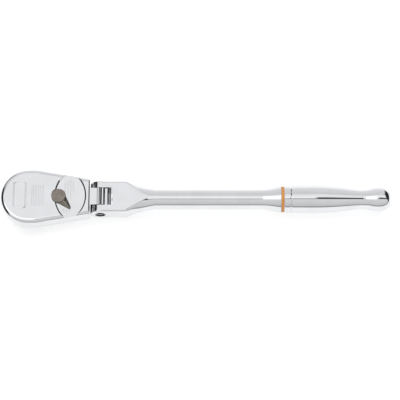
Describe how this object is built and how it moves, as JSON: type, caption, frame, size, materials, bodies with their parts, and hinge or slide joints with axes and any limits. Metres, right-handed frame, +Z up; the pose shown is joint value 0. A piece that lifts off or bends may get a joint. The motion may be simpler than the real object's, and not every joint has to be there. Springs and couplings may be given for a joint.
{
  "type": "ratchet wrench",
  "caption": "Flex-head teardrop ratchet wrench with a half-inch drive square, reversing lever, notched hinge joint, round steel handle and a coloured grip band.",
  "frame": {"origin": "centre of the drive square's end face", "axes": "+Z runs up the drive axis from the square to the lever side of the head; +X runs from the head along the handle; the tool is at rest with head and handle in line"},
  "size_m": [0.3048, 0.044, 0.0312],
  "materials": {
    "polished_chrome": "bright polished plating",
    "warm_satin_metal": "warm grey satin",
    "tool_steel": "ground, lightly oiled",
    "spring_wire": "drawn wire",
    "black_screw": "blackened",
    "orange_band": "satin orange"
  },
  "bodies": {
    "handle": {"handle": "polished_chrome", "handle_band": "orange_band", "flex_screw": "black_screw", "flex_nut": "polished_chrome", "flex_spring": "spring_wire"},
    "flex_plunger": {"flex_plunger": "tool_steel"},
    "head": {"head_housing": "polished_chrome", "cover_plate": "polished_chrome", "cover_screw_1": "black_screw", "cover_screw_2": "black_screw", "cover_screw_3": "black_screw", "pawl_pin": "tool_steel", "thrust_washer": "tool_steel"},
    "drive": {"drive_gear": "tool_steel", "drive_ball_spring": "spring_wire"},
    "drive_ball": {"drive_ball": "tool_steel"},
    "pawl": {"pawl": "tool_steel"},
    "lever": {"reversing_lever": "warm_satin_metal", "lever_clip": "spring_wire", "pawl_spring": "spring_wire"},
    "pawl_plunger": {"pawl_plunger": "tool_steel"}
  },
  "joints": [
    {"name": "head_flex", "type": "hinge", "parent": "handle", "child": "head", "pos_m": [0.0552, 0, 0.0204], "axis": [0, 1, 0], "range_deg": [-90, 90]},
    {"name": "flex_plunger_press", "type": "slide", "parent": "handle", "child": "flex_plunger", "axis": [1, 0, 0], "range_m": [-0.0006, 0], "stiffness_N_per_m": 1500, "springref_m": -0.003, "deforming": ["flex_spring"]},
    {"name": "drive_spin", "type": "hinge", "parent": "head", "child": "drive", "pos_m": [0, 0, 0.0204], "axis": [0, 0, 1], "continuous": true},
    {"name": "drive_ball_press", "type": "slide", "parent": "drive", "child": "drive_ball", "axis": [0, 1, 0], "range_m": [0, 0.0008], "stiffness_N_per_m": 1500, "springref_m": -0.002, "deforming": ["drive_ball_spring"]},
    {"name": "lever_swing", "type": "hinge", "parent": "head", "child": "lever", "pos_m": [0.0229, 0, 0.0204], "axis": [0, 0, 1], "range_deg": [0, 96]},
    {"name": "pawl_rock", "type": "hinge", "parent": "head", "child": "pawl", "pos_m": [0.0159, 0, 0.0204], "axis": [0, 0, 1], "range_deg": [-14.1, 0.1]},
    {"name": "pawl_plunger_press", "type": "slide", "parent": "lever", "child": "pawl_plunger", "axis": [-0.6691, 0.7431, 0], "range_m": [-0.0006, 0], "stiffness_N_per_m": 800, "springref_m": 0.0015, "deforming": ["pawl_spring"]}
  ],
  "couplings": [
    {"joint": "pawl_rock", "follows": "lever_swing", "ratio": -0.14583}
  ]
}
